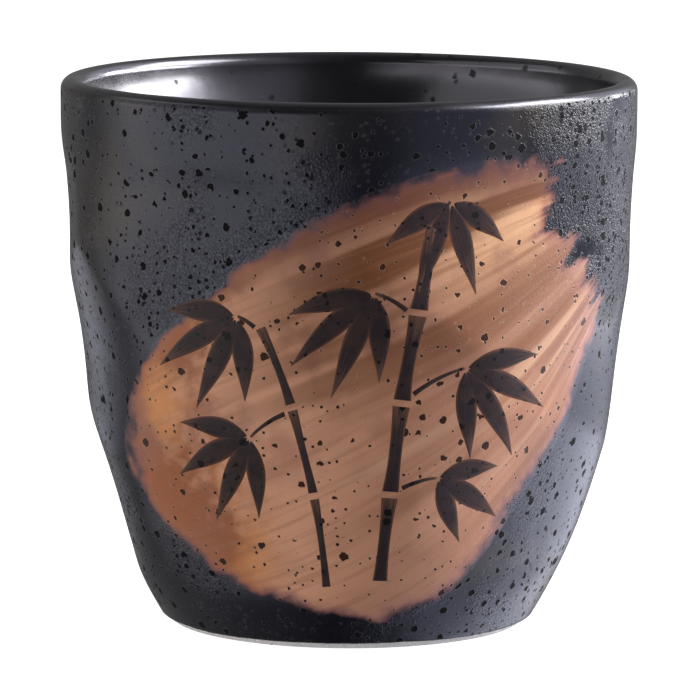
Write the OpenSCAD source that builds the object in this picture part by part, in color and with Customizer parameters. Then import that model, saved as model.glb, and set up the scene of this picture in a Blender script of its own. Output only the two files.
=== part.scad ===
// Handleless tea cup: dented stoneware body, bare foot ring, glaze coats and a brushed front.
// Units are millimetres. +Z is up, the origin is on the table under the middle of the foot.
// The painted front faces -Y. Angles around the wall start at the front and grow towards +X.

/* [Cup] */
// Height over the lip
cup_h = 76; // [68:1:92]
// Outer diameter at the rim
rim_d = 80; // [74:1:90]
// Outer diameter of the glazed wall where it would meet the table
foot_d = 50.8; // [46:0.2:56]
// Fullness of the belly: a higher value keeps the wall wide further down
fullness = 3.2; // [2.8:0.1:3.6]
// Thickness of the lip, coats included
lip_t = 3.2; // [2.8:0.1:4]
// Thinning of the wall towards the lip, on the inside
lip_thin = 2.2; // [1.6:0.1:3]
// Depth below the lip over which the wall thins
lip_thin_h = 7; // [5:0.5:10]
// Thickness of the clay floor in the middle
floor_t = 5; // [4:0.5:8]
// Squareness of the corner between the inside wall and the floor
corner_power = 4; // [3:0.5:6]

/* [Foot] */
// Height of the foot ring
foot_h = 2.5; // [1.8:0.1:3.6]
// Width of the foot ring
foot_w = 4.4; // [3.4:0.2:5.6]
// Height of the bare clay below the outer glaze
bare_h = 0.9; // [0.6:0.1:1.4]
// Bevel on both edges of the foot ring
foot_bevel = 0.5; // [0.3:0.1:0.8]

/* [Coats] */
// Thickness of the outer glaze
glaze_t = 0.45; // [0.3:0.05:0.7]
// Thickness of the liner glaze inside
liner_t = 0.45; // [0.3:0.05:0.7]
// Thickness of the glaze under the floor
base_glaze_t = 0.4; // [0.3:0.05:0.7]
// Thickness of the brushed swath
slip_t = 0.14; // [0.1:0.02:0.24]
// Thickness of the painted strokes
ink_t = 0.12; // [0.08:0.02:0.2]
// Clearance left between two coats
coat_gap = 0.06; // [0.05:0.01:0.1]
// Angle on the lip's round at which the liner meets the outer glaze, 0 is outward and 90 is up
lip_seam_angle = 30; // [20:5:60]

/* [Finger dents] */
// Depth of a dent
dent_depth = 1.8; // [0.4:0.1:2]
// Dents in one row around the cup
dent_count = 5; // [4:1:7]
// Half the width of a dent in degrees
dent_half_angle = 41; // [34:1:48]
// Half the height of a dent
dent_half_h = 18; // [12:0.5:20]
// Height of the lowest row of dents
dent_low_z = 20.4; // [18:0.2:24]
// Step from one row of dents to the next
dent_step = 18.2; // [16:0.2:21]

/* [Brush swath] */
// Angle of the swath's left side
swath_left_angle = -58; // [-66:1:-50]
// Angle of the swath's right tip
swath_right_angle = 65; // [56:1:72]
// Height of the swath's lowest point
swath_low_z = 4.2; // [3:0.2:8]
// Distance from the swath's highest point up to the lip
swath_drop = 6.8; // [6:0.2:14]
// Depth of the gaps between the bristle marks at the right end, as a share of the swath's length
fray_share = 0.1; // [0:0.01:0.16]
// Bristle marks at the right end
fray_count = 6; // [3:1:8]

/* [Painting] */
// Width of the main stem stroke
culm_w = 2.2; // [1.4:0.1:3]
// Gap between two lengths of a stem
joint_gap = 0.9; // [0.5:0.1:1.4]
// Width of a twig stroke
twig_w = 0.7; // [0.4:0.1:1.1]
// Widest point of a leaf stroke
leaf_w = 2.9; // [2:0.1:4]
// Length of a leaf stroke
leaf_len = 14.5; // [10:0.5:16]

/* [Hidden] */
rim_r = rim_d / 2;
foot_r = foot_d / 2;
lip_r = lip_t / 2;
lip_z = cup_h - lip_r;
lip_mid_r = rim_r - lip_r;
mouth_r = rim_r - lip_t;
clay_lip_r = lip_r - glaze_t;
floor_z = foot_h + floor_t + liner_t;
ring_r = foot_r - glaze_t - coat_gap;
ring_hole_r = ring_r - foot_w;
// Degrees between the two glazes on the lip
seam_gap_angle = 2;
// Dents fade in above the foot and out below the rim, so that both stay round
foot_round_h = 3;
rim_round_h = 5;
fade_h = 8;
// Sharpness of the ridges between dents
ridge_power = 4;
// Angle of the first dent in each row, from the lowest row up
dent_phase_angles = [-92.5, -77.5, -105];
// Facets around the wall, and rings along its parts
wall_facet_count = 64;
wall_ring_count = 24;
wall_levels = [for (i = [0:wall_ring_count]) mix(bare_h, lip_z, i / wall_ring_count)];
lip_ring_count = 4;
inner_step_count = 26;
lip_step = 90 / lip_ring_count;
// Grid of the swath, along and across the bristles
swath_step_count = 30;
swath_row_count = 24;
swath_top_z = cup_h - swath_drop;
swath_h = swath_top_z - swath_low_z;
// The painting is laid out flat and wrapped at the radius of the swath's middle
draw_r = wall_r(swath_low_z + swath_h / 2);
degrees_per_mm = 180 / (PI * draw_r);
// Clearance under the swath, whose facets cross those of the wall
swath_lift = 0.16;
ink_lift = swath_lift + slip_t + coat_gap;
$fn = 96;

function mix(a, b, t) = a + (b - a) * t;
function ease(t) = let (c = min(1, max(0, t))) c * c * (3 - 2 * c);
function bend(a, b, c, t) = mix(mix(a, b, t), mix(b, c, t), t);
function wrap_angle(a) = a - 360 * round(a / 360);
function total(list, i = 0) = i < len(list) ? list[i] + total(list, i + 1) : 0;
function reverse(list) = [for (i = [len(list) - 1:-1:0]) list[i]];
function join(lists) = [for (list = lists) each list];
function flat(line) = [for (p = line) [p[0], p[1]]];

// Smooth outer profile of the wall, before the dents
function wall_r(z) = rim_r - (rim_r - foot_r) * pow(max(0, 1 - z / cup_h), fullness);

// One dent is a shallow dish, 1 at its middle and 0 at its soft edge
function dish(z, a, row, i) =
    let (
        da = wrap_angle(a - dent_phase_angles[row] - 360 * i / dent_count) / dent_half_angle,
        dz = (z - dent_low_z - row * dent_step) / dent_half_h
    )
    pow(max(0, 1 - da * da - dz * dz), 2);

function dent(z, a) =
    let (
        dishes = [
            for (row = [0:len(dent_phase_angles) - 1], i = [0:dent_count - 1])
                pow(dish(z, a, row, i), ridge_power)
        ],
        fade = ease((z - foot_round_h) / fade_h) * ease((cup_h - rim_round_h - z) / fade_h)
    )
    dent_depth * fade * pow(total(dishes), 1 / ridge_power);

function at(r, z, a) = [r * sin(a), -r * cos(a), z];

// A point on the dented wall, lifted outwards
function on_wall(z, a, lift) = at(wall_r(z) - dent(z, a) + lift, z, a);

// Rounded inside profile from the middle of the floor (t = 0) up to the lip (t = 1)
function inner_z(t, lift) = mix(floor_z - lift, lip_z, 1 - cos(90 * t));
// Share of the mouth's radius that the wall takes up below the thin lip
function thick_share(t) =
    lip_thin / mouth_r * (1 - exp(-pow((lip_z - inner_z(t, 0)) / lip_thin_h, 2)));
function inner_r(t, lift) =
    (mouth_r + lift) * pow(sin(90 * t), 2 / corner_power) * (1 - thick_share(t));
function inner_line(steps, lift) =
    [for (i = [1:steps]) [inner_r(i / steps, lift), inner_z(i / steps, lift), 0]];

// Points on the lip's round, angle 0 outward, 90 up, 180 inward
function lip_arc(radius, from, to, steps) =
    [
        for (i = [0:steps])
            let (a = mix(from, to, i / steps)) [lip_mid_r + radius * cos(a), lip_z + radius * sin(a), 0]
    ];
// The round from an angle on its outer side, over the crest, to the inside
function lip_over(radius, from) =
    concat(
        lip_arc(radius, from, 90 - lip_step, lip_ring_count - 1),
        lip_arc(radius, 90, 180, lip_ring_count)
    );

// Points up the outer wall, inset below its surface; the third value turns the dents on
function wall_line(from, inset) =
    let (levels = concat([from], [for (level = wall_levels) if (level > from) level]))
    [for (z = levels) [wall_r(z) - inset, z, 1]];

function ring(p) =
    [
        for (i = [0:wall_facet_count - 1])
            let (a = 360 * i / wall_facet_count) at(p[0] - (p[2] > 0 ? dent(p[1], a) : 0), p[1], a)
    ];

// Two triangles between neighbouring rows of a grid
function patch(a, b, c, d) = [[a, b, c], [a, c, d]];

// Skin around a closed loop of rings
module ring_skin(loop) {
    rings = len(loop);
    corner = function (i, j) (i % rings) * wall_facet_count + j % wall_facet_count;
    polyhedron(
        points = join([for (p = loop) ring(p)]),
        faces = [
            for (i = [0:rings - 1], j = [0:wall_facet_count - 1])
                each patch(corner(i, j), corner(i + 1, j), corner(i + 1, j + 1), corner(i, j + 1))
        ]
    );
}

// Skin over rings that start and end in a point on the axis
module pole_skin(low_z, line, high_z) {
    rings = len(line);
    low = rings * wall_facet_count;
    high = low + 1;
    corner = function (i, j) i * wall_facet_count + j % wall_facet_count;
    polyhedron(
        points = concat(join([for (p = line) ring(p)]), [[0, 0, low_z], [0, 0, high_z]]),
        faces = concat(
            [for (j = [0:wall_facet_count - 1]) [low, corner(0, j), corner(0, j + 1)]],
            [
                for (i = [0:rings - 2], j = [0:wall_facet_count - 1])
                    each patch(corner(i, j), corner(i + 1, j), corner(i + 1, j + 1), corner(i, j + 1))
            ],
            [for (j = [0:wall_facet_count - 1]) [corner(rings - 1, j), high, corner(rings - 1, j + 1)]]
        )
    );
}

// Thin sheet on the wall from a grid of [angle, height] places, rows from the lowest up
module sheet(grid, lift, thickness) {
    rows = len(grid);
    cols = len(grid[0]);
    outer = function (i, j) i * cols + j;
    inner = function (i, j) (rows + i) * cols + j;
    last = rows - 1;
    side = cols - 1;
    polyhedron(
        points = concat(
            [for (row = grid) for (p = row) on_wall(p[1], p[0], lift + thickness)],
            [for (row = grid) for (p = row) on_wall(p[1], p[0], lift)]
        ),
        faces = concat(
            [
                for (i = [0:rows - 2], j = [0:cols - 2])
                    each concat(
                        patch(outer(i, j), outer(i + 1, j), outer(i + 1, j + 1), outer(i, j + 1)),
                        patch(inner(i, j), inner(i, j + 1), inner(i + 1, j + 1), inner(i + 1, j))
                    )
            ],
            [
                for (j = [0:cols - 2])
                    each concat(
                        patch(outer(0, j), outer(0, j + 1), inner(0, j + 1), inner(0, j)),
                        patch(outer(last, j), inner(last, j), inner(last, j + 1), outer(last, j + 1))
                    )
            ],
            [
                for (i = [0:rows - 2])
                    each concat(
                        patch(outer(i, 0), inner(i, 0), inner(i + 1, 0), outer(i + 1, 0)),
                        patch(outer(i, side), outer(i + 1, side), inner(i + 1, side), inner(i, side))
                    )
            ]
        )
    );
}

// Stoneware wall and floor
module clay_body() {
    outside = wall_line(foot_h, glaze_t);
    inside = reverse(inner_line(inner_step_count, liner_t));
    lip = lip_arc(clay_lip_r, lip_step, 180 - lip_step, 2 * lip_ring_count - 2);
    color("#b9b2a6")
        pole_skin(foot_h, concat(outside, lip, inside), floor_z - liner_t);
}

// Bare clay ring under the floor
module foot_ring() {
    top_r = wall_r(foot_h) - glaze_t - coat_gap;
    color("#c4bdb2")
        rotate_extrude()
            polygon([
                [ring_hole_r + foot_bevel, 0],
                [ring_r - foot_bevel, 0],
                [mix(ring_r, top_r, foot_bevel / foot_h), foot_bevel],
                [top_r, foot_h],
                [ring_hole_r, foot_h],
                [ring_hole_r, foot_bevel]
            ]);
}

// Glossy coat over the inside, rolled over the lip
module liner_glaze() {
    seat = liner_t - coat_gap;
    inside = flat(inner_line(inner_step_count, 0));
    seated = flat(inner_line(inner_step_count, seat));
    crest = flat(lip_arc(lip_r, 180 - lip_step, lip_seam_angle, 2 * lip_ring_count));
    under = flat(lip_arc(clay_lip_r + coat_gap, lip_seam_angle, 180 - lip_step, 2 * lip_ring_count));
    color("#17171a")
        rotate_extrude()
            polygon(concat([[0, floor_z]], inside, crest, under, reverse(seated), [[0, floor_z - seat]]));
}

// Satin coat over the dented wall, up to the liner on the lip
module outer_glaze() {
    seam = lip_seam_angle - seam_gap_angle;
    first = seam / (lip_ring_count + 1);
    outside = concat(wall_line(bare_h, 0), lip_arc(lip_r, first, seam, lip_ring_count));
    under_r = clay_lip_r + coat_gap;
    inside = concat(wall_line(bare_h, glaze_t - coat_gap), lip_arc(under_r, first, seam, lip_ring_count));
    color("#3c3b40") ring_skin(concat(outside, reverse(inside)));
}

// Coat in the recess under the floor
module base_glaze() {
    color("#2c2b2f")
        translate([0, 0, foot_h - base_glaze_t])
            cylinder(r = ring_hole_r - coat_gap, h = base_glaze_t - coat_gap);
}

// The swath is a fan of bristle paths. Its corners are an angle and a share of the swath's height:
// the bristles set down along the left side, from the shoulder round to the lowest point,
// and lift off along the right end, from the top corner down to the tip.
shoulder_share = [-40, 0.617];
shoulder_pull_share = [-52, 0.489];
lowest_share = [-2, 0];
left_pull_share = [
    (8 * swath_left_angle - shoulder_share[0] - lowest_share[0]) / 3 - shoulder_pull_share[0],
    0.151
];
top_corner_share = [44, 1];
end_pull_share = [45, 0.782];
right_tip_share = [swath_right_angle, 0.597];
// Rise of the path's middle above a straight line, at the top and the bottom of the fan
top_rise_share = 0.111;
bottom_rise_share = -0.135;

function set_down(v) =
    mix(
        bend(shoulder_share, shoulder_pull_share, left_pull_share, v),
        bend(shoulder_pull_share, left_pull_share, lowest_share, v),
        v
    );
function lift_off(v) = bend(top_corner_share, end_pull_share, right_tip_share, v);
function swath_at(u, v) =
    let (
        from = set_down(v),
        to = lift_off(v),
        middle = (from + to) / 2 + [0, 2 * mix(top_rise_share, bottom_rise_share, v)],
        p = bend(from, middle, to, u)
    )
    [p[0], swath_low_z + swath_h * p[1]];
// Ragged right end, cut back between the bristle marks
function swath_reach(v) = 1 - fray_share * (0.5 - 0.5 * cos(360 * fray_count * v)) * (1 - v);

// Tan swath over the outer glaze
module slip_patch() {
    grid = [
        for (j = [swath_row_count:-1:0])
            let (v = j / swath_row_count, reach = swath_reach(v))
            [for (i = [0:swath_step_count]) swath_at(reach * i / swath_step_count, v)]
    ];
    color("#b08a66") sheet(grid, swath_lift, slip_t);
}

// A place in the painting: millimetres from the front's middle, and a share of the swath's height
function spot(p) = [p[0], swath_low_z + swath_h * p[1]];

// One brush stroke along a bent line in the flat layout
module stroke(a, b, c, width, steps, cells) {
    grid = [
        for (k = [0:cells])
            [
                for (i = [0:steps])
                    let (
                        t = i / steps,
                        along = mix(b - a, c - b, t),
                        across = [-along[1], along[0]] / norm(along),
                        p = bend(a, b, c, t) + across * width(t) * (k / cells - 0.5)
                    )
                    [p[0] * degrees_per_mm, p[1]]
            ]
    ];
    sheet(grid, ink_lift, ink_t);
}

// Stems: foot, bend, top, share of the stem width, lengths
culms = [
    [[5.5, 0.09], [6.5, 0.49], [11.5, 0.86], 1, 4],
    [[-3.5, 0.075], [-5, 0.4], [-12, 0.643], 0.6, 3]
];
// Extra width of a stem length at its ends, where the brush pauses
pause_share = 0.36;

function culm_at(culm, t) = bend(spot(culm[0]), spot(culm[1]), spot(culm[2]), t);

module culm_strokes() {
    color("#2b1d16")
        for (culm = culms, k = [0:culm[4] - 1])
            let (
                gap = joint_gap / norm(culm_at(culm, 1) - culm_at(culm, 0)) / 2,
                from = k / culm[4] + gap,
                to = (k + 1) / culm[4] - gap,
                a = culm_at(culm, from),
                c = culm_at(culm, to),
                b = 2 * culm_at(culm, (from + to) / 2) - (a + c) / 2,
                w = culm_w * culm[3] * (1 - pause_share / 2)
            )
            stroke(a, b, c, function (t) w * (1 + pause_share * pow(2 * t - 1, 2)), 4, 2);
}

// Leaf bunches: stem, place along it, end of the twig, first leaf's direction, fan, leaves, length share
bunches = [
    [0, 0.98, [13.5, 0.9], -150, 118, 4, 0.85],
    [0, 0.74, [3.5, 0.715], -168, 82, 4, 1],
    [0, 0.51, [16, 0.553], -80, 88, 4, 1.05],
    [0, 0.26, [13, 0.322], -58, 66, 3, 0.9],
    [1, 0.97, [-15, 0.66], -183, 95, 4, 0.95],
    [1, 0.66, [-14, 0.406], -190, 98, 4, 0.95]
];
// Rise of a twig's middle as a share of its length, and how far it tapers
twig_rise_share = 0.12;
twig_taper_share = 0.45;
// Gap between a stroke and the next one on the same twig
stroke_gap = 0.6;

module twig_strokes() {
    color("#3a281d")
        for (bunch = bunches)
            let (
                culm = culms[bunch[0]],
                root = culm_at(culm, bunch[1]),
                tip = spot(bunch[2]),
                away = (tip - root) / norm(tip - root),
                a = root + away * (culm_w * culm[3] / 2 + stroke_gap),
                b = (a + tip) / 2 + [0, norm(tip - a) * twig_rise_share]
            )
            stroke(a, b, tip, function (t) twig_w * (1 - twig_taper_share * t), 4, 1);
}

// Shortening of the outer leaves of a bunch, their outward curl and their droop, as shares of the length
outer_short_share = 0.24;
leaf_curl_share = 0.11;
leaf_droop_share = 0.06;
// Width at a leaf's ends, where the brush lifts
leaf_tip_w = 0.12;
// A leaf swells quickly and ends in a long point
function leaf_swell(t) = pow(sin(180 * pow(t, 0.75)), 1.15);

module leaf_strokes() {
    color("#241914")
        for (bunch = bunches, i = [0:bunch[5] - 1])
            let (
                share = 2 * i / (bunch[5] - 1) - 1,
                turn = bunch[3] + bunch[4] * (share + 1) / 2,
                reach = leaf_len * bunch[6] * (1 - outer_short_share * share * share),
                aim = [cos(turn), sin(turn)],
                a = spot(bunch[2]) + aim * stroke_gap,
                b = a + reach * (aim / 2 + [-aim[1], aim[0]] * share * leaf_curl_share / 2),
                c = a + reach * (aim + [0, -leaf_droop_share])
            )
            stroke(a, b, c, function (t) leaf_tip_w + leaf_w * leaf_swell(t), 8, 2);
}

clay_body();
foot_ring();
liner_glaze();
outer_glaze();
base_glaze();
slip_patch();
culm_strokes();
twig_strokes();
leaf_strokes();
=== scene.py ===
"""Looks of a handleless tea cup: glaze coats, a brushed swath with painted bamboo, camera and light."""

import math
from collections import namedtuple

import bpy
import numpy as np
from mathutils import Matrix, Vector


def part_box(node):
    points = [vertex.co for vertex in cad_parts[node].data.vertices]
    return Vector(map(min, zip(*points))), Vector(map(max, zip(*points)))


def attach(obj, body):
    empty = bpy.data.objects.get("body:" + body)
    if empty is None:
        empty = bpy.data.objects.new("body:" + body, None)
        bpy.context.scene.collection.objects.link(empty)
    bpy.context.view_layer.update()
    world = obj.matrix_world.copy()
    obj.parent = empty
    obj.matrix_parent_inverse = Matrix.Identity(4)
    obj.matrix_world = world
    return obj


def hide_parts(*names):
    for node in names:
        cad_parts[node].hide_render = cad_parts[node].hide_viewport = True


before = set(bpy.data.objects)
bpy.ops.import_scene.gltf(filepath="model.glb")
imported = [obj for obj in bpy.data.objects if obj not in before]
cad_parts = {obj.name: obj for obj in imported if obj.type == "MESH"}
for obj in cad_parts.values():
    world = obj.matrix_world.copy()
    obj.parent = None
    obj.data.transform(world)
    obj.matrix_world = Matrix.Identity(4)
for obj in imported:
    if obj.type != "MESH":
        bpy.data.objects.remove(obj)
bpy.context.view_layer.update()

MM = 0.001


def to_mm(corner):
    return [value / MM for value in corner]


# Sizes of the cup in millimetres, as in the CAD
outer_low = to_mm(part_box("outer_glaze")[0])
ring_high = to_mm(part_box("foot_ring")[1])
base_low, base_high = map(to_mm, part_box("base_glaze"))
swath_low, swath_high = map(to_mm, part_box("slip_patch"))

cup_h = 76
rim_r = 40
foot_r = 25.4
fullness = 3.2
lip_t = 3.2
lip_r = lip_t / 2
lip_z = cup_h - lip_r
lip_mid_r = rim_r - lip_r
mouth_r = rim_r - lip_t
lip_seam = 30
lip_thin = 2.2
lip_thin_h = 7
glaze_t = 0.45
coat_gap = 0.06
floor_z = 7.95
corner_power = 4
bare_h = outer_low[2]
foot_h = ring_high[2]
foot_w = 4.4

# Finger dents
dent_depth = 1.8
dent_count = 5
dent_half_turn = 41
dent_half_h = 18
dent_low_z = 20.4
dent_step = 18.2
dent_phase = (-92.5, -77.5, -105)
foot_round_h = 3
rim_round_h = 5
fade_h = 8
ridge_power = 4


def mix(a, b, t):
    return a + (b - a) * t


def ease(t):
    t = np.clip(t, 0, 1)
    return t * t * (3 - 2 * t)


def bend(a, b, c, t):
    return mix(mix(a, b, t), mix(b, c, t), t)


def smooth_wall(z):
    return rim_r - (rim_r - foot_r) * np.clip(1 - z / cup_h, 0, None) ** fullness


def dent(z, turn):
    total = 0
    for row, phase in enumerate(dent_phase):
        dz = (z - dent_low_z - row * dent_step) / dent_half_h
        for i in range(dent_count):
            da = ((turn - phase - 360 * i / dent_count + 180) % 360 - 180) / dent_half_turn
            total = total + np.clip(1 - da * da - dz * dz, 0, None) ** (2 * ridge_power)
    fade = ease((z - foot_round_h) / fade_h) * ease((cup_h - rim_round_h - z) / fade_h)
    return dent_depth * fade * total ** (1 / ridge_power)


def wall_radius(z, turn):
    return smooth_wall(z) - dent(z, turn)


def place(radius, z, turn):
    """Points at a radius, a height and an angle from the front, as an array of X, Y, Z."""
    angle = np.radians(turn)
    radius, z, angle = np.broadcast_arrays(radius, z, angle)
    return np.stack([radius * np.sin(angle), -radius * np.cos(angle), z], axis=-1)


def waves(turn, seed, counts):
    """Smooth wobble around the cup, about -1 to 1, from a few sine waves."""
    rng = np.random.default_rng(seed)
    total = 0
    for count in counts:
        total = total + np.sin(np.radians(turn) * count + rng.uniform(0, 2 * math.pi)) / math.sqrt(count)
    return total / sum(1 / math.sqrt(count) for count in counts)


def grid_mesh(name, grids, closed=False):
    """One mesh object from grids of points in millimetres, rows first."""
    points = []
    faces = []
    count = 0
    for grid in grids:
        rows, cols = grid.shape[:2]
        index = count + np.arange(rows * cols).reshape(rows, cols)
        count += rows * cols
        points.append(grid.reshape(-1, 3) * MM)
        if closed:
            index = np.concatenate([index, index[:, :1]], axis=1)
        quads = np.stack([index[:-1, :-1], index[:-1, 1:], index[1:, 1:], index[1:, :-1]], axis=-1)
        faces.append(quads.reshape(-1, 4))
    mesh = bpy.data.meshes.new(name)
    mesh.from_pydata(np.concatenate(points), [], np.concatenate(faces).tolist())
    mesh.polygons.foreach_set("use_smooth", np.ones(len(mesh.polygons), dtype=bool))
    mesh.update()
    piece = bpy.data.objects.new(name, mesh)
    bpy.context.scene.collection.objects.link(piece)
    return piece


def add_attribute(piece, name, grids):
    values = np.concatenate([grid.reshape(-1, 3) for grid in grids]).astype(np.float32)
    layer = piece.data.attributes.new(name, "FLOAT_VECTOR", "POINT")
    layer.data.foreach_set("vector", values.ravel())


def finish_piece(piece, material, node):
    piece.data.materials.append(material)
    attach(piece, "root")
    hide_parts(node)


# Shader helpers


def is_socket(value):
    return isinstance(value, bpy.types.NodeSocket)


def add_node(tree, kind, inputs=None, **settings):
    made = tree.nodes.new(kind)
    for key, value in settings.items():
        setattr(made, key, value)
    for key, value in (inputs or {}).items():
        if is_socket(value):
            tree.links.new(value, made.inputs[key])
        else:
            made.inputs[key].default_value = value
    return made


def math_op(tree, operation, *values):
    return add_node(tree, "ShaderNodeMath", dict(enumerate(values)), operation=operation).outputs[0]


def product(tree, first, *others):
    for other in others:
        first = math_op(tree, "MULTIPLY", first, other)
    return first


def blend_value(tree, factor, a, b):
    return add_node(tree, "ShaderNodeMix", {0: factor, 2: a, 3: b}, data_type="FLOAT").outputs[0]


def blend_colour(tree, factor, a, b, blend_type="MIX"):
    a = a if is_socket(a) else (*a, 1)
    b = b if is_socket(b) else (*b, 1)
    inputs = {0: factor, 6: a, 7: b}
    return add_node(tree, "ShaderNodeMix", inputs, data_type="RGBA", blend_type=blend_type).outputs[2]


def span(tree, value, low, high, to_low=0.0, to_high=1.0, smooth=True):
    inputs = {"Value": value, "From Min": low, "From Max": high, "To Min": to_low, "To Max": to_high}
    curve = "SMOOTHSTEP" if smooth else "LINEAR"
    return add_node(tree, "ShaderNodeMapRange", inputs, interpolation_type=curve).outputs[0]


def noise(tree, where, scale, detail=2.0, roughness=0.5):
    inputs = {"Vector": where, "Scale": scale, "Detail": detail, "Roughness": roughness}
    return add_node(tree, "ShaderNodeTexNoise", inputs).outputs[0]


def vector_op(tree, operation, a, b):
    return add_node(tree, "ShaderNodeVectorMath", {0: a, 1: b}, operation=operation).outputs[0]


def millimetres(tree):
    """Place on the object, in millimetres."""
    where = add_node(tree, "ShaderNodeTexCoord").outputs["Object"]
    return vector_op(tree, "MULTIPLY", where, (1 / MM, 1 / MM, 1 / MM))


def speck_depth(tree, where, cell, reach, share):
    """Millimetres inside the nearest speck, below zero outside; share is how many cells hold one."""
    wobble = add_node(tree, "ShaderNodeTexNoise", {"Vector": where, "Scale": 1.1 / reach, "Detail": 1.0})
    shift = vector_op(tree, "MULTIPLY", wobble.outputs["Color"], (reach, reach, reach))
    moved = vector_op(tree, "ADD", where, shift)
    cells = add_node(tree, "ShaderNodeTexVoronoi", {"Vector": moved, "Scale": 1 / cell})
    pick = add_node(tree, "ShaderNodeSeparateColor", {"Color": cells.outputs["Color"]})
    radius = span(tree, pick.outputs[0], 1 - share, 1.0, 0.4 * reach, reach, smooth=False)
    empty = math_op(tree, "LESS_THAN", pick.outputs[0], 1 - share)
    depth = math_op(tree, "MULTIPLY_ADD", cells.outputs["Distance"], -cell, radius)
    return math_op(tree, "SUBTRACT", depth, empty)


def specks(tree, where, large_cell=1.95, small_share=0.75):
    """Depth inside the iron specks, of two sizes."""
    large = speck_depth(tree, where, large_cell, 0.62, 0.7)
    small = speck_depth(tree, where, 1.1, 0.26, small_share)
    return math_op(tree, "MAXIMUM", large, small)


def bump(tree, height_mm):
    inputs = {"Height": height_mm, "Distance": MM, "Strength": 1.0}
    return add_node(tree, "ShaderNodeBump", inputs).outputs[0]


def new_material(name, **constants):
    material = bpy.data.materials.new(name)
    material.use_nodes = True
    shader = material.node_tree.nodes["Principled BSDF"]
    for key, value in constants.items():
        shader.inputs[key.replace("_", " ")].default_value = value
    return material, material.node_tree, shader


def wire(tree, shader, **sockets):
    for key, value in sockets.items():
        tree.links.new(value, shader.inputs[key.replace("_", " ")])


# Materials


def charcoal_surface(tree, where, depth):
    """Colour, roughness, height and gloss tint of the satin charcoal glaze; depth is that inside specks."""
    cool_tone = (0.008, 0.0084, 0.0130)
    warm_tone = (0.022, 0.0185, 0.0165)
    halo_tone = (0.06, 0.058, 0.062)
    speck_tone = (0.003, 0.003, 0.0035)
    cool_gloss = (0.80, 0.81, 1.0)
    warm_gloss = (1.0, 0.95, 0.93)
    pit_gloss = (0.1, 0.1, 0.11)
    speck_gloss = (0.14, 0.14, 0.15)
    speck_heart_gloss = (0.38, 0.37, 0.40)
    axes = add_node(tree, "ShaderNodeSeparateXYZ", {"Vector": where}).outputs
    x = axes["X"]
    z = axes["Z"]

    # Cool ground with warm clouds that grow towards the rim
    cloud = math_op(tree, "MULTIPLY_ADD", z, 0.002, noise(tree, where, 0.045, 2.0))
    warmth = span(tree, cloud, 0.58, 0.76)
    tone = blend_colour(tree, warmth, cool_tone, warm_tone)
    grain = noise(tree, where, 2.6, 3.0, 0.6)
    light = span(tree, grain, 0.3, 0.72, 0.7, 1.35)
    tone = blend_colour(tree, 1.0, tone, light, "MULTIPLY")
    halo = span(tree, depth, -0.14, -0.05)
    speck = span(tree, depth, -0.05, 0.05)
    tone = blend_colour(tree, product(tree, halo, 0.4), tone, halo_tone)
    tone = blend_colour(tree, speck, tone, speck_tone)

    # Rugged patches with pits, most of all high on the right flank
    flank = product(tree, span(tree, x, 20.0, 28.0), span(tree, x, 40.5, 38.5), span(tree, z, 38.0, 50.0))
    rugged = math_op(tree, "MULTIPLY_ADD", flank, 0.18, noise(tree, where, 0.07, 2.0))
    patchy = span(tree, rugged, 0.5, 0.63, 0.06, 1.0)
    fine = noise(tree, where, 3.2, 2.0, 0.6)
    height = product(tree, fine, patchy, span(tree, flank, 0.0, 1.0, 0.1, 0.17))
    ring = math_op(tree, "SUBTRACT", halo, speck)
    height = math_op(tree, "MULTIPLY_ADD", ring, 0.015, height)
    pit = math_op(tree, "MULTIPLY_ADD", flank, 0.07, speck_depth(tree, where, 1.15, 0.34, 0.8))
    pit = span(tree, pit, -0.04, 0.04)
    pit = product(tree, pit, patchy)
    height = math_op(tree, "MULTIPLY_ADD", pit, -0.06, height)
    rough = blend_value(tree, flank, span(tree, grain, 0.3, 0.7, 0.32, 0.24), 0.15)
    rough = blend_value(tree, math_op(tree, "MAXIMUM", speck, pit), rough, 0.95)
    glint = span(tree, fine, 0.40, 0.64, span(tree, flank, 0.0, 1.0, 0.5, 0.3), 1.25)
    sheen = blend_value(tree, patchy, 0.92, glint)
    sheen = product(tree, sheen, span(tree, flank, 0.0, 1.0, 1.0, 0.3))
    gloss = blend_colour(tree, warmth, cool_gloss, warm_gloss)
    gloss = blend_colour(tree, 1.0, gloss, sheen, "MULTIPLY")
    gloss = blend_colour(tree, pit, gloss, pit_gloss)
    gloss = blend_colour(tree, speck, gloss, speck_gloss)
    gloss = blend_colour(tree, span(tree, depth, 0.1, 0.22), gloss, speck_heart_gloss)
    return tone, rough, height, gloss


def charcoal_material():
    material, tree, shader = new_material("charcoal_glaze", IOR=1.47)
    where = millimetres(tree)
    tone, rough, height, gloss = charcoal_surface(tree, where, specks(tree, where))
    wire(tree, shader, Base_Color=tone, Roughness=rough, Normal=bump(tree, height), Specular_Tint=gloss)
    return material


def black_material(name):
    material, tree, shader = new_material(name, IOR=1.8)
    where = millimetres(tree)
    cloud = noise(tree, where, 0.12, 2.0)
    tone = blend_colour(tree, cloud, (0.006, 0.006, 0.008), (0.012, 0.011, 0.013))
    speck = span(tree, speck_depth(tree, where, 2.6, 0.6, 0.6), -0.12, 0.12)
    tone = blend_colour(tree, speck, tone, (0.003, 0.003, 0.0035))
    rough = blend_value(tree, speck, span(tree, cloud, 0.3, 0.7, 0.2, 0.26), 0.4)
    height = product(tree, noise(tree, where, 0.3, 2.0), 0.03)
    gloss = blend_colour(tree, speck, (0.92, 0.90, 1.0), (0.3, 0.3, 0.32))
    wire(tree, shader, Base_Color=tone, Roughness=rough, Normal=bump(tree, height), Specular_Tint=gloss)
    return material


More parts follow.
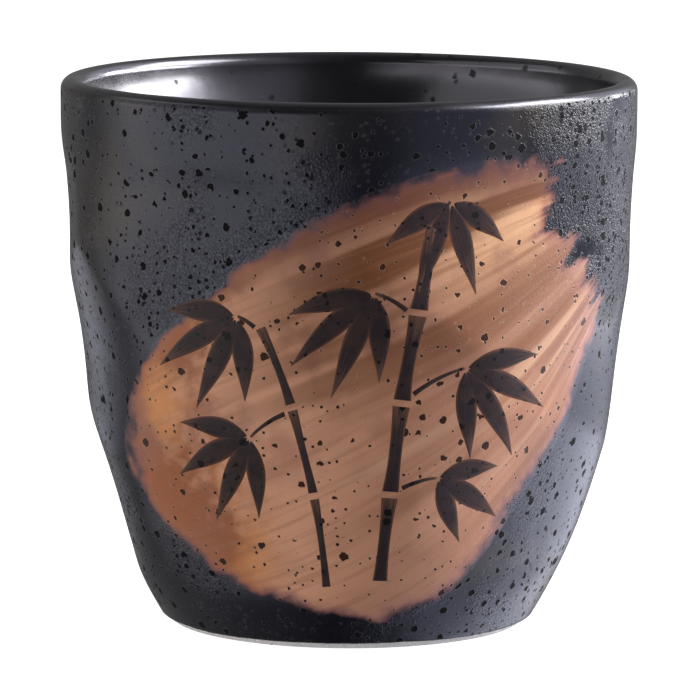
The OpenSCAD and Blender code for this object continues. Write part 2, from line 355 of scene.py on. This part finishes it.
def clay_material(name):
    material, tree, shader = new_material(name, IOR=1.45)
    where = millimetres(tree)
    cloud = noise(tree, where, 0.25, 3.0)
    grit = noise(tree, where, 4.0, 3.0, 0.7)
    tone = blend_colour(tree, cloud, (0.58, 0.56, 0.53), (0.74, 0.72, 0.69))
    tone = blend_colour(tree, 1.0, tone, span(tree, grit, 0.25, 0.75, 0.7, 1.2), "MULTIPLY")
    iron = span(tree, speck_depth(tree, where, 2.0, 0.3, 0.5), -0.05, 0.05)
    tone = blend_colour(tree, iron, tone, (0.08, 0.05, 0.035))
    rough = span(tree, grit, 0.3, 0.7, 0.95, 0.8)
    height = product(tree, grit, 0.08)
    wire(tree, shader, Base_Color=tone, Roughness=rough, Normal=bump(tree, height))
    return material


def swath_material():
    """Tan slip dragged by a broad brush. The brush attribute holds the place along the bristles and
    across them in millimetres, then the share from the top edge to the bottom one. The rim attribute
    holds the distance to the start, the end and the sides."""
    early_dark = (0.30, 0.095, 0.034)
    early_light = (0.56, 0.230, 0.080)
    late_light = (0.60, 0.335, 0.185)
    late_dark = (0.22, 0.095, 0.055)
    # Middle tones: painted light at the left, painted shade at the right
    middle_painted_light_left = (0.63, 0.315, 0.190)
    middle_painted_shade_right = (0.44, 0.215, 0.132)
    thin_cool = (0.34, 0.165, 0.135)
    thin_warm = (0.34, 0.115, 0.052)
    mottle_tone = (0.27, 0.115, 0.080)
    cream_tone = (0.60, 0.37, 0.235)
    shade_tone = (0.16, 0.058, 0.022)
    scant_tone = (0.15, 0.052, 0.030)
    hair_tone = (0.29, 0.125, 0.062)
    edge_tone = (0.17, 0.07, 0.07)
    halo_tone = (0.60, 0.38, 0.26)
    speck_tone = (0.040, 0.016, 0.010)
    slip_gloss = (0.4, 0.36, 0.33)
    speck_gloss = (0.1, 0.09, 0.08)
    material, tree, shader = new_material("tan_slip", IOR=1.55)
    where = millimetres(tree)
    brush = add_node(tree, "ShaderNodeAttribute", attribute_name="brush").outputs["Vector"]
    rim = add_node(tree, "ShaderNodeAttribute", attribute_name="rim").outputs["Vector"]
    to_start, to_end, to_side = add_node(tree, "ShaderNodeSeparateXYZ", {"Vector": rim}).outputs
    drag = add_node(tree, "ShaderNodeSeparateXYZ", {"Vector": brush}).outputs[2]
    bands = noise(tree, vector_op(tree, "MULTIPLY", brush, (0.012, 0.15, 0.0)), 1.0, 2.0, 0.5)
    hairs = noise(tree, vector_op(tree, "MULTIPLY", brush, (0.05, 0.9, 0.0)), 1.0, 2.0, 0.5)
    cloud = noise(tree, where, 0.07, 3.0)
    blotch = noise(tree, where, 0.4, 3.0)

    # Ragged edge: soft along the sides, fingers at the end of the stroke
    fingers = noise(tree, vector_op(tree, "MULTIPLY", brush, (0.012, 0.12, 0.0)), 1.0, 1.0)
    cut = span(tree, fingers, 0.38, 0.64, 0.0, 4.4)
    cut = math_op(tree, "ADD", cut, span(tree, hairs, 0.3, 0.7, 0.0, 1.2))
    wobble = span(tree, blotch, 0.25, 0.75, -1.2, 1.2, smooth=False)
    lobes = span(tree, noise(tree, where, 0.11, 1.0), 0.36, 0.62, 0.0, 1.0)
    lobes = product(tree, lobes, span(tree, to_start, 12.0, 24.0, 2.8, 0.8))
    end_gap = math_op(tree, "ADD", math_op(tree, "SUBTRACT", to_end, cut), wobble)
    side_gap = math_op(tree, "SUBTRACT", math_op(tree, "MINIMUM", to_side, to_start), lobes)
    side_gap = math_op(tree, "ADD", side_gap, wobble)
    gap = math_op(tree, "MINIMUM", end_gap, side_gap)
    cover = span(tree, gap, 0.0, 2.5)
    body = span(tree, gap, 0.3, 3.8)

    # Colour along the stroke, with painted light at the left and painted shade at the right, then its thin
    # edge, mottling and streaks
    x = add_node(tree, "ShaderNodeSeparateXYZ", {"Vector": where}).outputs["X"]
    left = span(tree, x, -6.0, -15.0)
    early = blend_colour(tree, span(tree, cloud, 0.58, 0.44), early_dark, early_light)
    late = blend_colour(tree, span(tree, drag, 0.3, 0.6), late_light, late_dark)
    # Painted light and shade: the middle tone is lighter at the left and darker at the right, to even out
    # the side lamps
    middle = blend_colour(tree, span(tree, x, -10.0, 14.0), middle_painted_light_left, middle_painted_shade_right)
    tone = blend_colour(tree, span(tree, to_end, 34.0, 12.0), middle, late)
    laid = math_op(tree, "ADD", to_start, span(tree, blotch, 0.3, 0.7, -4.0, 4.0))
    tone = blend_colour(tree, product(tree, left, span(tree, laid, 24.0, 10.0)), tone, early)
    warm = math_op(tree, "MAXIMUM", left, span(tree, drag, 0.5, 0.2))
    thin = blend_colour(tree, warm, thin_cool, thin_warm)
    thin_width = span(tree, x, -6.0, -15.0, 5.5, 7.5)
    tone = blend_colour(tree, span(tree, gap, 1.0, thin_width), thin, tone)
    mottle = span(tree, noise(tree, where, 0.13, 3.0), 0.44, 0.66, 0.0, 0.7)
    mottle = product(tree, mottle, span(tree, drag, 0.4, 0.85, 1.0, 0.3))
    tone = blend_colour(tree, mottle, tone, mottle_tone)
    cream = product(tree, span(tree, bands, 0.46, 0.34, 0.0, 0.6), span(tree, to_start, 16.0, 42.0))
    tone = blend_colour(tree, cream, tone, cream_tone)
    shade = product(
        tree,
        span(tree, bands, 0.46, 0.58),
        span(tree, drag, 0.25, 0.7, 1.0, 0.5),
        span(tree, to_start, 16.0, 42.0, 0.05, 1.0),
    )
    tone = blend_colour(tree, shade, tone, shade_tone)
    scant = product(tree, span(tree, drag, 0.27, 0.06, 0.0, 0.86), span(tree, to_start, 8.0, 30.0))
    tone = blend_colour(tree, scant, tone, scant_tone)
    tone = blend_colour(tree, span(tree, hairs, 0.46, 0.7, 0.0, 0.4), tone, hair_tone)
    tone = blend_colour(tree, body, edge_tone, tone)

    # Specks that break through, and the glaze that shows where the slip ends
    depth = specks(tree, where, 2.7, 0.5)
    dark, dark_rough, dark_height, dark_gloss = charcoal_surface(tree, where, depth)
    halo = span(tree, depth, -0.13, -0.04)
    speck = span(tree, depth, -0.05, 0.05)
    tone = blend_colour(tree, product(tree, halo, 0.2), tone, halo_tone)
    tone = blend_colour(tree, speck, tone, speck_tone)
    tone = blend_colour(tree, cover, dark, tone)
    grain = noise(tree, where, 2.6, 3.0, 0.6)
    rough = blend_value(tree, cover, dark_rough, span(tree, grain, 0.3, 0.7, 0.48, 0.38))
    height = product(tree, grain, 0.03)
    height = math_op(tree, "MULTIPLY_ADD", hairs, 0.06, height)
    height = math_op(tree, "MULTIPLY_ADD", halo, 0.01, height)
    height = math_op(tree, "MULTIPLY_ADD", speck, -0.05, height)
    height = blend_value(tree, cover, dark_height, height)
    gloss = blend_colour(tree, speck, slip_gloss, speck_gloss)
    gloss = blend_colour(tree, cover, dark_gloss, gloss)
    wire(tree, shader, Base_Color=tone, Roughness=rough, Normal=bump(tree, height), Specular_Tint=gloss)
    return material


def ink_material():
    """Iron-brown pigment. The stroke attribute holds the place along a stroke and across it, then a random
    number that sets the stroke's streaks apart from the others'."""
    wet_tone = (0.026, 0.017, 0.019)
    pale_tone = (0.040, 0.024, 0.023)
    dry_tone = (0.14, 0.068, 0.044)
    edge_tone = (0.11, 0.048, 0.032)
    speck_tone = (0.006, 0.005, 0.005)
    material, tree, shader = new_material("iron_brown", IOR=1.5, Specular_IOR_Level=0.12)
    where = millimetres(tree)
    stroke = add_node(tree, "ShaderNodeAttribute", attribute_name="stroke").outputs["Vector"]
    axes = add_node(tree, "ShaderNodeSeparateXYZ", {"Vector": stroke}).outputs
    hair = noise(tree, vector_op(tree, "MULTIPLY", stroke, (1.6, 5.0, 9.0)), 1.0, 3.0, 0.6)
    blotch = noise(tree, where, 0.35, 3.0)
    thin = math_op(tree, "MULTIPLY_ADD", math_op(tree, "SUBTRACT", hair, 0.5), 1.1, axes["X"])
    dry = span(tree, thin, 0.6, 1.1)
    tone = blend_colour(tree, span(tree, blotch, 0.4, 0.66), wet_tone, pale_tone)
    tone = blend_colour(tree, product(tree, dry, 0.8), tone, dry_tone)
    side = math_op(tree, "ABSOLUTE", axes["Y"])
    tone = blend_colour(tree, span(tree, side, 0.66, 1.0, 0.0, 0.85), tone, edge_tone)
    speck = span(tree, specks(tree, where), -0.05, 0.05)
    tone = blend_colour(tree, speck, tone, speck_tone)
    grain = noise(tree, where, 2.6, 3.0, 0.6)
    rough = span(tree, grain, 0.3, 0.7, 0.48, 0.36)
    height = math_op(tree, "MULTIPLY_ADD", hair, 0.03, product(tree, grain, 0.03))
    wire(tree, shader, Base_Color=tone, Roughness=rough, Normal=bump(tree, height))
    return material


charcoal = charcoal_material()
liner_black = black_material("black_glaze")
base_black = black_material("base_coat")
bare_clay = clay_material("bare_clay")
stoneware = clay_material("stoneware")
tan_slip = swath_material()
iron_brown = ink_material()

# Outer glaze, from its beaded lower edge up to the seam on the lip
around_count = 512
wall_rows = 230
edge_wobble = 0.14
edge_seed = 3
edge_waves = (3, 5, 9, 14, 23, 37, 58)
bead_h = 0.25
bead_back_h = 0.1
bead_front_h = 0.08
bead_in = 0.2
bead_out = 0.05
around = np.linspace(0, 360, around_count, endpoint=False)[None, :]
edge_z = bare_h + edge_wobble * waves(around, edge_seed, edge_waves)
edge_r = smooth_wall(edge_z)
wall_z = mix(edge_z + bead_h, lip_z, np.linspace(0, 1, wall_rows)[:, None])
seam_turn = np.radians(np.linspace(0, lip_seam, 7)[1:])[:, None]
tuck = 0.3
outer_rows = [
    place(edge_r - glaze_t, edge_z + bead_back_h, around),
    place(edge_r - bead_in, edge_z, around),
    place(edge_r - bead_out, edge_z + bead_front_h, around),
    place(wall_radius(wall_z, around), wall_z, around),
    place(lip_mid_r + lip_r * np.cos(seam_turn), lip_z + lip_r * np.sin(seam_turn), around),
    place(
        lip_mid_r + (lip_r - tuck) * np.cos(seam_turn[-1:]),
        lip_z + (lip_r - tuck) * np.sin(seam_turn[-1:]),
        around,
    ),
]
outer_glaze = grid_mesh("outer_glaze_coat", [np.concatenate(outer_rows)], closed=True)
finish_piece(outer_glaze, charcoal, "outer_glaze")

# Liner glaze: floor, inside wall and the round of the lip down to the seam
inner_rows = 120
crest_rows = 30
seam_lap = 4
inner_t = np.linspace(0.002, 1, inner_rows)[:, None]
inner_z = mix(floor_z, lip_z, 1 - np.cos(np.radians(90 * inner_t)))
thickening = lip_thin * (1 - np.exp(-(((lip_z - inner_z) / lip_thin_h) ** 2)))
inner_r = mouth_r * np.sin(np.radians(90 * inner_t)) ** (2 / corner_power) * (1 - thickening / mouth_r)
crest_turn = np.radians(np.linspace(180, lip_seam - seam_lap, crest_rows)[1:])[:, None]
liner_rows = [
    place(inner_r, inner_z, around),
    place(lip_mid_r + lip_r * np.cos(crest_turn), lip_z + lip_r * np.sin(crest_turn), around),
]
liner = grid_mesh("liner_glaze_coat", [np.concatenate(liner_rows)[::-1]], closed=True)
finish_piece(liner, liner_black, "liner_glaze")

# Bare foot ring, its section as radius and height
ring_r = foot_r - glaze_t - coat_gap
ring_hole_r = ring_r - foot_w
ring_top_r = smooth_wall(foot_h) - glaze_t - coat_gap
ring_section = (
    (ring_hole_r, foot_h),
    (ring_hole_r, 0.55),
    (ring_hole_r + 0.1, 0.25),
    (ring_hole_r + 0.3, 0.07),
    (ring_hole_r + 0.6, 0.0),
    (ring_r - 0.65, 0.0),
    (ring_r - 0.32, 0.08),
    (ring_r - 0.1, 0.26),
    (mix(ring_r, ring_top_r, 0.2), 0.5),
    (ring_top_r, foot_h),
)
ring_rows = [place(radius, z, around) for radius, z in ring_section]
foot_ring = grid_mesh("foot_ring_clay", [np.concatenate(ring_rows)], closed=True)
finish_piece(foot_ring, bare_clay, "foot_ring")

# Glaze in the recess under the floor, thicker where it runs down to the ring: share of radius, rise
base_section = (
    (0.0005, 0.1),
    (0.3, 0.12),
    (0.6, 0.1),
    (0.85, 0.08),
    (0.95, 0.05),
    (0.985, 0.0),
    (1.0, 0.0),
)
base_rows = [place(base_high[0] * share, base_low[2] + rise, around) for share, rise in base_section]
base_glaze = grid_mesh("base_glaze_coat", [np.concatenate(base_rows)[::-1]], closed=True)
finish_piece(base_glaze, base_black, "base_glaze")

clay_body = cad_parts["clay_body"].data
clay_body.materials.clear()
clay_body.materials.append(stoneware)

# Brush swath: a fan of bristle paths, corners as an angle and a share of the swath's height
swath_low_z = swath_low[2]
swath_h = swath_high[2] - swath_low_z
swath_left = -58
swath_right = 65
shoulder = np.array([-40, 0.617])
shoulder_pull = np.array([-52, 0.489])
lowest = np.array([-2, 0])
left_pull = np.array([(8 * swath_left - shoulder[0] - lowest[0]) / 3 - shoulder_pull[0], 0.151])
top_corner = np.array([44, 1])
end_pull = np.array([45, 0.782])
right_tip = np.array([swath_right, 0.597])
top_rise = 0.111
bottom_rise = -0.135
draw_r = smooth_wall(swath_low_z + swath_h / 2)
degrees_per_mm = 180 / (math.pi * draw_r)


def swath_at(u, v):
    """Angle and height on the swath, u along the bristles and v from its top edge to its bottom edge."""
    upper = bend(shoulder, shoulder_pull, left_pull, v)
    set_down = mix(upper, bend(shoulder_pull, left_pull, lowest, v), v)
    lift_off = bend(top_corner, end_pull, right_tip, v)
    rise = np.array([0, 2]) * mix(top_rise, bottom_rise, v)
    p = bend(set_down, (set_down + lift_off) / 2 + rise, lift_off, u)
    return p[..., 0], swath_low_z + swath_h * p[..., 1]


def run_lengths(x, y, axis):
    """Length run along one axis of a flat grid, from its first point."""
    first = (slice(None), slice(0, 1)) if axis else (slice(0, 1), slice(None))
    steps = np.hypot(np.diff(x, axis=axis, prepend=x[first]), np.diff(y, axis=axis, prepend=y[first]))
    return np.cumsum(steps, axis=axis)


# The mesh spills past the CAD swath, so that its ragged edge can be painted
spill_u = 0.012
spill_end_u = 0.065
spill_v = 0.02
spill_low_v = 0.045
swath_columns = 280
swath_rows = 200
mesh_margin = 0.9
edge_sink = -0.015
full_rise = 0.055
rise_width = 4
swath_u = np.linspace(-spill_u, 1 + spill_end_u, swath_columns)[None, :, None]
swath_v = np.linspace(1 + spill_low_v, -spill_v, swath_rows)[:, None, None]
swath_turn, swath_z = swath_at(swath_u, swath_v)
flat_x = swath_turn / degrees_per_mm
along = run_lengths(flat_x, swath_z, 1)
across = run_lengths(flat_x, swath_z, 0)
to_start = along - mesh_margin
to_end = along[:, -1:] - along - mesh_margin
to_side = np.minimum(across, across[-1:] - across) - mesh_margin
mesh_edge = np.minimum(np.minimum(to_start, to_end), to_side) + mesh_margin
swath_lift = edge_sink + full_rise * ease(mesh_edge / rise_width)
swath_grid = place(wall_radius(swath_z, swath_turn) + swath_lift, swath_z, swath_turn)
swath = grid_mesh("tan_swath", [swath_grid])
middle_column = swath_columns // 2
bristle_place = across[:, middle_column : middle_column + 1] + 0 * along
add_attribute(swath, "brush", [np.stack([along, bristle_place, swath_v[..., 0] + 0 * along], axis=-1)])
add_attribute(swath, "rim", [np.stack([to_start, to_end, to_side], axis=-1)])
finish_piece(swath, tan_slip, "slip_patch")

# Painted bamboo, laid out as in the CAD: millimetres across, and a share of the swath's height
ink_seed = 11
ink_rng = np.random.default_rng(ink_seed)
ink_lift = 0.05
ink_t = 0.06
ink_end_share = 0.04


def spot(p):
    return np.array([p[0], swath_low_z + swath_h * p[1]])


def stroke_grid(a, b, c, width, steps, cells):
    """One brush stroke as a low mound on the wall, with its stroke attribute."""
    t = np.linspace(0, 1, steps + 1)[:, None]
    middle = bend(a, b, c, t)
    direction = mix(b - a, c - b, t)
    side = np.stack([-direction[:, 1], direction[:, 0]], axis=1)
    side = side / np.linalg.norm(direction, axis=1)[:, None]
    share = np.linspace(-1, 1, cells + 1)[None, :]
    flat = middle[:, None] + side[:, None] * (width(t) / 2 * share)[..., None]
    turn = flat[..., 0] * degrees_per_mm
    z = flat[..., 1]
    lift = ink_lift + ink_t * (1 - share**4) * ease(t / ink_end_share) * ease((1 - t) / ink_end_share)
    grid = place(wall_radius(z, turn) + lift, z, turn)
    mark = np.full(turn.shape, ink_rng.uniform(0, 1))
    data = np.stack([t + 0 * turn, share + 0 * turn, mark], axis=-1)
    return grid[:, ::-1], data[:, ::-1]


def stroke_piece(name, strokes, node):
    piece = grid_mesh(name, [grid for grid, data in strokes])
    add_attribute(piece, "stroke", [data for grid, data in strokes])
    finish_piece(piece, iron_brown, node)


Culm = namedtuple("Culm", "foot pull top width_share lengths")
culms = (
    Culm((5.5, 0.09), (6.5, 0.49), (11.5, 0.86), 1.0, 4),
    Culm((-3.5, 0.075), (-5, 0.4), (-12, 0.643), 0.6, 3),
)
culm_w = 2.2
joint_gap = 0.9
pause = 0.36


def culm_at(culm, t):
    return bend(spot(culm.foot), spot(culm.pull), spot(culm.top), t)


def culm_width(culm):
    """Width along one length of a stem, broader at both ends, where the brush pauses."""
    narrow = culm_w * culm.width_share * (1 - pause / 2)
    return lambda t: narrow * (1 + pause * (2 * t - 1) ** 2)


culm_strokes = []
for culm in culms:
    gap = joint_gap / np.linalg.norm(culm_at(culm, 1) - culm_at(culm, 0)) / 2
    for k in range(culm.lengths):
        first = k / culm.lengths + gap
        last = (k + 1) / culm.lengths - gap
        a = culm_at(culm, first)
        c = culm_at(culm, last)
        b = 2 * culm_at(culm, (first + last) / 2) - (a + c) / 2
        culm_strokes.append(stroke_grid(a, b, c, culm_width(culm), steps=40, cells=10))
stroke_piece("bamboo_stems", culm_strokes, "culm_strokes")

# Leaf bunches: stem, place on it, twig end, first leaf's angle, fan, leaves and share of full length
bunches = (
    (0, 0.98, (13.5, 0.9), -150, 118, 4, 0.85),
    (0, 0.74, (3.5, 0.715), -168, 82, 4, 1.0),
    (0, 0.51, (16, 0.553), -80, 88, 4, 1.05),
    (0, 0.26, (13, 0.322), -58, 66, 3, 0.9),
    (1, 0.97, (-15, 0.66), -183, 95, 4, 0.95),
    (1, 0.66, (-14, 0.406), -190, 98, 4, 0.95),
)
twig_w = 0.7
twig_rise = 0.12
twig_taper = 0.45
stroke_gap = 0.6
leaf_w = 2.9
leaf_len = 14.5
outer_short = 0.24
leaf_curl = 0.11
leaf_droop = 0.06
leaf_tip_w = 0.12


def leaf_width(t):
    return leaf_tip_w + leaf_w * np.sin(np.pi * t**0.75) ** 1.15


def twig_width(t):
    return twig_w * (1 - twig_taper * t)


twig_strokes = []
leaf_strokes = []
for stem, stem_place, twig_end, first_turn, fan, leaves, length_share in bunches:
    culm = culms[stem]
    root = culm_at(culm, stem_place)
    tip = spot(twig_end)
    away = (tip - root) / np.linalg.norm(tip - root)
    a = root + away * (culm_w * culm.width_share / 2 + stroke_gap)
    b = (a + tip) / 2 + np.array([0, np.linalg.norm(tip - a) * twig_rise])
    twig_strokes.append(stroke_grid(a, b, tip, twig_width, steps=24, cells=6))
    for i in range(leaves):
        share = 2 * i / (leaves - 1) - 1
        turn = math.radians(first_turn + fan * (share + 1) / 2)
        reach = leaf_len * length_share * (1 - outer_short * share * share)
        aim = np.array([math.cos(turn), math.sin(turn)])
        a = tip + aim * stroke_gap
        b = a + reach * (aim / 2 + np.array([-aim[1], aim[0]]) * share * leaf_curl / 2)
        c = a + reach * (aim + np.array([0, -leaf_droop]))
        leaf_strokes.append(stroke_grid(a, b, c, leaf_width, steps=40, cells=12))
stroke_piece("bamboo_twigs", twig_strokes, "twig_strokes")
stroke_piece("bamboo_leaves", leaf_strokes, "leaf_strokes")

# Studio: a pale floor, two soft boxes at the right and a faint one at the left
floor_half = 3.0
floor_mesh = bpy.data.meshes.new("floor")
floor_corners = [(x * floor_half, y * floor_half, 0) for x, y in ((-1, -1), (1, -1), (1, 1), (-1, 1))]
floor_mesh.from_pydata(floor_corners, [], [(0, 1, 2, 3)])
floor = bpy.data.objects.new("floor", floor_mesh)
bpy.context.scene.collection.objects.link(floor)
floor_look = new_material(
    "floor",
    Base_Color=(0.35, 0.35, 0.35, 1.0),
    Roughness=0.9,
    Specular_IOR_Level=0.0,
    Emission_Color=(1.0, 1.0, 1.0, 1.0),
    Emission_Strength=0.96,
)
floor_mesh.materials.append(floor_look[0])
floor.visible_glossy = False
floor.visible_diffuse = False


def soft_box(name, where, size, radiance, aim=(0, 0, cup_h / 2 * MM)):
    light = bpy.data.lights.new(name, "AREA")
    light.shape = "RECTANGLE"
    light.size, light.size_y = size
    light.energy = radiance * math.pi * size[0] * size[1]
    lamp = bpy.data.objects.new(name, light)
    bpy.context.scene.collection.objects.link(lamp)
    back = np.array(where) - np.array(aim)
    back = back / np.linalg.norm(back)
    right = np.cross((0, 0, 1), back)
    right = right / np.linalg.norm(right)
    turned = Matrix(np.stack([right, np.cross(back, right), back], axis=1).tolist()).to_4x4()
    lamp.matrix_world = Matrix.Translation(where) @ turned


soft_box("soft_box_right", where=(0.77, 0.22, 0.24), size=(0.95, 0.21), radiance=18.0)
soft_box("soft_box_high", where=(0.62, 0.07, 0.56), size=(0.6, 0.40), radiance=14.0)
soft_box("soft_box_left", where=(-0.78, -0.17, 0.40), size=(1.2, 0.8), radiance=0.8)

# Room: dim in front, with glows at the right, the left and the rear left, and a white backdrop
world = bpy.data.worlds.new("studio")
world.use_nodes = True
bpy.context.scene.world = world
sky = world.node_tree
sky_shader = sky.nodes["Background"]
way = add_node(sky, "ShaderNodeTexCoord").outputs["Generated"]
way_x, way_y, way_z = add_node(sky, "ShaderNodeSeparateXYZ", {"Vector": way}).outputs
room = span(sky, way_y, -0.3, 0.7, 0.04, 0.22)
right_low = span(sky, way_z, -0.16, -0.32, 0.9, 2.7)
right_rear = product(sky, span(sky, way_y, -0.1, 0.6, 0.5, 1.0), span(sky, way_y, 0.96, 0.86))
right_glow = product(sky, span(sky, way_x, 0.25, 0.5), right_rear, right_low)
left_low = product(sky, span(sky, way_z, -0.74, -0.44, 0.07, 1.0), span(sky, way_z, 0.3, 0.0))
left_glow = product(sky, span(sky, way_x, -0.1, -0.38, 0.0, 1.85), span(sky, way_y, 0.5, 0.0), left_low)
rear_low = product(sky, span(sky, way_z, -0.14, -0.19), span(sky, way_z, -0.31, -0.24))
rear_glow = product(sky, span(sky, way_x, -0.25, -0.5, 0.0, 0.9), span(sky, way_y, 0.5, 0.85), rear_low)
cool_glow = math_op(sky, "ADD", right_glow, rear_glow)
glow = math_op(sky, "ADD", cool_glow, left_glow)
for_camera = add_node(sky, "ShaderNodeLightPath").outputs["Is Camera Ray"]
strength = blend_value(sky, for_camera, math_op(sky, "ADD", room, glow), 1.0)
warm_white = (1.0, 0.98, 0.98)
cool_white = (0.84, 0.86, 1.0)
backdrop_white = (1.0, 1.0, 1.0)
tint = blend_colour(sky, span(sky, cool_glow, 0.0, 0.6), warm_white, cool_white)
tint = blend_colour(sky, for_camera, tint, backdrop_white)
sky.links.new(strength, sky_shader.inputs["Strength"])
sky.links.new(tint, sky_shader.inputs["Color"])

# Camera at the photograph's viewing angle
camera_place = (0.00027, -0.7747, 0.1479)
camera_pitch = 8.10
camera_roll = 0.235
focal_pixels = 5602
image_side = 700
camera_data = bpy.data.cameras.new("camera")
camera_data.sensor_width = 36
camera_data.lens = focal_pixels * camera_data.sensor_width / image_side
camera_data.clip_end = 20
camera = bpy.data.objects.new("camera", camera_data)
bpy.context.scene.collection.objects.link(camera)
camera.matrix_world = (
    Matrix.Translation(camera_place)
    @ Matrix.Rotation(math.radians(90 - camera_pitch), 4, "X")
    @ Matrix.Rotation(math.radians(camera_roll), 4, "Z")
)
bpy.context.scene.camera = camera
bpy.context.scene.view_settings.view_transform = "Standard"
